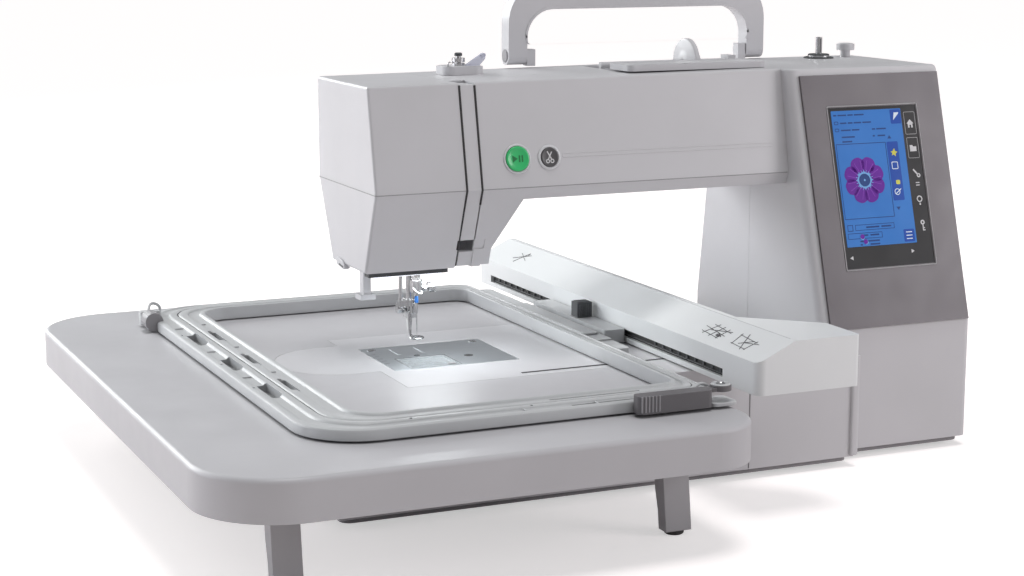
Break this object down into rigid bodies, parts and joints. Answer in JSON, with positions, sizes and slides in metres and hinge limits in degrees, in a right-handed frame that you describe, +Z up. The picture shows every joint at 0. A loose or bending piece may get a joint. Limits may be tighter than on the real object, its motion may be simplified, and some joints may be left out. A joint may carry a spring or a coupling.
{
  "type": "embroidery machine",
  "caption": "Free-standing embroidery machine with arm over a flat bed, leaning touch panel, sliding hoop carriage, large hoop, folding handle and extension table on legs.",
  "frame": {"origin": "on the resting surface, under the middle of the whole object's box at rest", "axes": "+Z up, +X to the operator's right along the arm, operator at -Y"},
  "size_m": [0.68, 0.554, 0.366],
  "materials": {
    "pale_shell": "satin moulded",
    "panel_taupe": "satin painted",
    "screen_glass": "glossy",
    "green_button": "translucent satin",
    "dark_button": "satin",
    "steel": "polished",
    "plate_steel": "satin ground",
    "clear_cover": "clear",
    "hoop_grey": "satin moulded",
    "dark_grey": "satin",
    "mid_grey": "satin",
    "cast_frame": "as cast",
    "black_part": "matte",
    "bronze": "sintered",
    "belt_rubber": "matte",
    "foot_rubber": "matte"
  },
  "bodies": {
    "machine": {"base_pan": "mid_grey", "base_feet": "foot_rubber", "bed_casing": "pale_shell", "corner_block": "pale_shell", "face_cover": "pale_shell", "thread_channel": "pale_shell", "front_casing": "pale_shell", "rear_casing": "pale_shell", "control_bezel": "panel_taupe", "touch_screen": "screen_glass", "needle_plate": "plate_steel", "bobbin_cover": "clear_cover", "handle_pivots": "pale_shell", "spool_pin": "pale_shell", "winder_stopper": "pale_shell", "thread_guide": "pale_shell", "tension_discs": "steel", "frame_casting": "cast_frame", "shaft_bushes": "bronze", "motor": "black_part", "drive_belt": "belt_rubber", "bobbin": "clear_cover", "lamp_strip": "dark_grey", "power_inlet": "black_part", "x_rails": "steel", "extension_table": "pale_shell"},
    "start_button": {"start_stop_button": "green_button"},
    "cutter_button": {"thread_cut_button": "dark_button"},
    "handle": {"carrying_handle": "pale_shell"},
    "lid": {"top_lid": "pale_shell"},
    "spool_stop": {"spool_cap": "pale_shell"},
    "winder": {"winder_spindle": "steel"},
    "drive": {"main_shaft": "steel", "shaft_pulley": "black_part", "handwheel": "pale_shell"},
    "motor_rotor": {"motor_pulley": "black_part"},
    "lower_drive": {"lower_shaft": "steel"},
    "hook": {"rotary_hook": "steel"},
    "needle_carrier": {"needle_bar": "steel", "needle_clamp": "steel", "needle": "steel"},
    "threader": {"needle_threader": "steel"},
    "presser": {"presser_bar": "steel", "embroidery_foot": "steel"},
    "lifter": {"presser_lever": "pale_shell"},
    "take_up": {"take_up_lever": "steel"},
    "switch": {"power_switch": "black_part"},
    "carriage": {"x_slider": "mid_grey", "carriage_housing": "pale_shell", "y_rail": "steel"},
    "hoop_carriage": {"carriage_block": "hoop_grey", "outer_hoop": "hoop_grey", "inner_hoop": "hoop_grey"},
    "hoop_knob": {"clamp_knob": "dark_grey"},
    "tension_screw": {"hoop_screw": "mid_grey"},
    "hoop_latch": {"hoop_lever": "mid_grey"},
    "leg_front_right": {"table_leg_front_right": "mid_grey"},
    "leg_front_left": {"table_leg_front_left": "mid_grey"},
    "leg_rear_right": {"table_leg_rear_right": "mid_grey"},
    "leg_rear_left": {"table_leg_rear_left": "mid_grey"}
  },
  "joints": [
    {"name": "start_press", "type": "slide", "parent": "machine", "child": "start_button", "axis": [0, 0.9798, -0.1998], "range_m": [0, 0.0012], "stiffness_N_per_m": 800, "springref_m": -0.0008},
    {"name": "cutter_press", "type": "slide", "parent": "machine", "child": "cutter_button", "axis": [0, 0.9798, -0.1998], "range_m": [0, 0.0012], "stiffness_N_per_m": 800, "springref_m": -0.0008},
    {"name": "handle_fold", "type": "hinge", "parent": "machine", "child": "handle", "pos_m": [0, 0.072, 0.307], "axis": [1, 0, 0], "range_deg": [-90, 0]},
    {"name": "lid_open", "type": "hinge", "parent": "machine", "child": "lid", "pos_m": [0, 0.014, 0.30155], "axis": [1, 0, 0], "range_deg": [-80, 0]},
    {"name": "spool_cap_slide", "type": "slide", "parent": "machine", "child": "spool_stop", "axis": [1, 0, 0], "range_m": [-0.07, 0.02]},
    {"name": "winder_spin", "type": "hinge", "parent": "machine", "child": "winder", "pos_m": [0.274, 0.051, 0.3], "axis": [0, 0, 1], "continuous": true},
    {"name": "handwheel_turn", "type": "hinge", "parent": "machine", "child": "drive", "pos_m": [0, 0.011, 0.25], "axis": [1, 0, 0], "continuous": true},
    {"name": "motor_turn", "type": "hinge", "parent": "machine", "child": "motor_rotor", "pos_m": [0.268, 0.011, 0.15], "axis": [1, 0, 0], "continuous": true},
    {"name": "lower_turn", "type": "hinge", "parent": "machine", "child": "lower_drive", "pos_m": [0, 0.011, 0.032], "axis": [1, 0, 0], "continuous": true},
    {"name": "hook_turn", "type": "hinge", "parent": "machine", "child": "hook", "pos_m": [-0.101, -0.009, 0.07], "axis": [0, 0, 1], "continuous": true},
    {"name": "needle_slide", "type": "slide", "parent": "machine", "child": "needle_carrier", "axis": [0, 0, 1], "range_m": [-0.034, 0]},
    {"name": "take_up_swing", "type": "hinge", "parent": "machine", "child": "take_up", "pos_m": [-0.08, -0.011, 0.235], "axis": [1, 0, 0], "range_deg": [-40, 0]},
    {"name": "presser_lift", "type": "hinge", "parent": "machine", "child": "lifter", "pos_m": [-0.133, 0.035, 0.174], "axis": [1, 0, 0], "range_deg": [0, 45]},
    {"name": "presser_slide", "type": "slide", "parent": "machine", "child": "presser", "axis": [0, 0, 1], "range_m": [0, 0.00596]},
    {"name": "threader_slide", "type": "slide", "parent": "machine", "child": "threader", "axis": [0, 0, 1], "range_m": [-0.02, 0], "stiffness_N_per_m": 50, "springref_m": 0.002},
    {"name": "power_rock", "type": "hinge", "parent": "machine", "child": "switch", "pos_m": [0.322, 0.02, 0.03], "axis": [0, 0, 1], "range_deg": [-6, 6]},
    {"name": "carriage_x", "type": "slide", "parent": "machine", "child": "carriage", "axis": [1, 0, 0], "range_m": [-0.1, 0.086]},
    {"name": "hoop_y", "type": "slide", "parent": "carriage", "child": "hoop_carriage", "axis": [0, 1, 0], "range_m": [-0.179, 0.179]},
    {"name": "knob_turn", "type": "hinge", "parent": "hoop_carriage", "child": "hoop_knob", "pos_m": [0.053, 0.043, 0.1], "axis": [0, 0, 1], "range_deg": [0, 90]},
    {"name": "tension_turn", "type": "hinge", "parent": "hoop_carriage", "child": "tension_screw", "pos_m": [-0.262, 0.18, 0.097], "axis": [0, 1, 0], "range_deg": [-360, 360]},
    {"name": "latch_open", "type": "hinge", "parent": "hoop_carriage", "child": "hoop_latch", "pos_m": [0.028, -0.223, 0.095], "axis": [0, 0, 1], "range_deg": [0, 75]},
    {"name": "leg_fold_front_right", "type": "hinge", "parent": "machine", "child": "leg_front_right", "pos_m": [-0.001, -0.205, 0.068], "axis": [1, 0, 0], "range_deg": [0, 88]},
    {"name": "leg_fold_front_left", "type": "hinge", "parent": "machine", "child": "leg_front_left", "pos_m": [-0.278, -0.205, 0.068], "axis": [1, 0, 0], "range_deg": [0, 88]},
    {"name": "leg_fold_rear_right", "type": "hinge", "parent": "machine", "child": "leg_rear_right", "pos_m": [-0.001, 0.205, 0.068], "axis": [1, 0, 0], "range_deg": [-88, 0]},
    {"name": "leg_fold_rear_left", "type": "hinge", "parent": "machine", "child": "leg_rear_left", "pos_m": [-0.278, 0.205, 0.068], "axis": [1, 0, 0], "range_deg": [-88, 0]}
  ],
  "couplings": [
    {"joint": "motor_turn", "follows": "handwheel_turn", "ratio": 2.6667},
    {"joint": "lower_turn", "follows": "handwheel_turn", "ratio": 1},
    {"joint": "hook_turn", "follows": "handwheel_turn", "ratio": 2},
    {"joint": "take_up_swing", "follows": "needle_slide", "rad_per_m": 20.5},
    {"joint": "presser_lift", "follows": "presser_slide", "rad_per_m": 131.58}
  ]
}
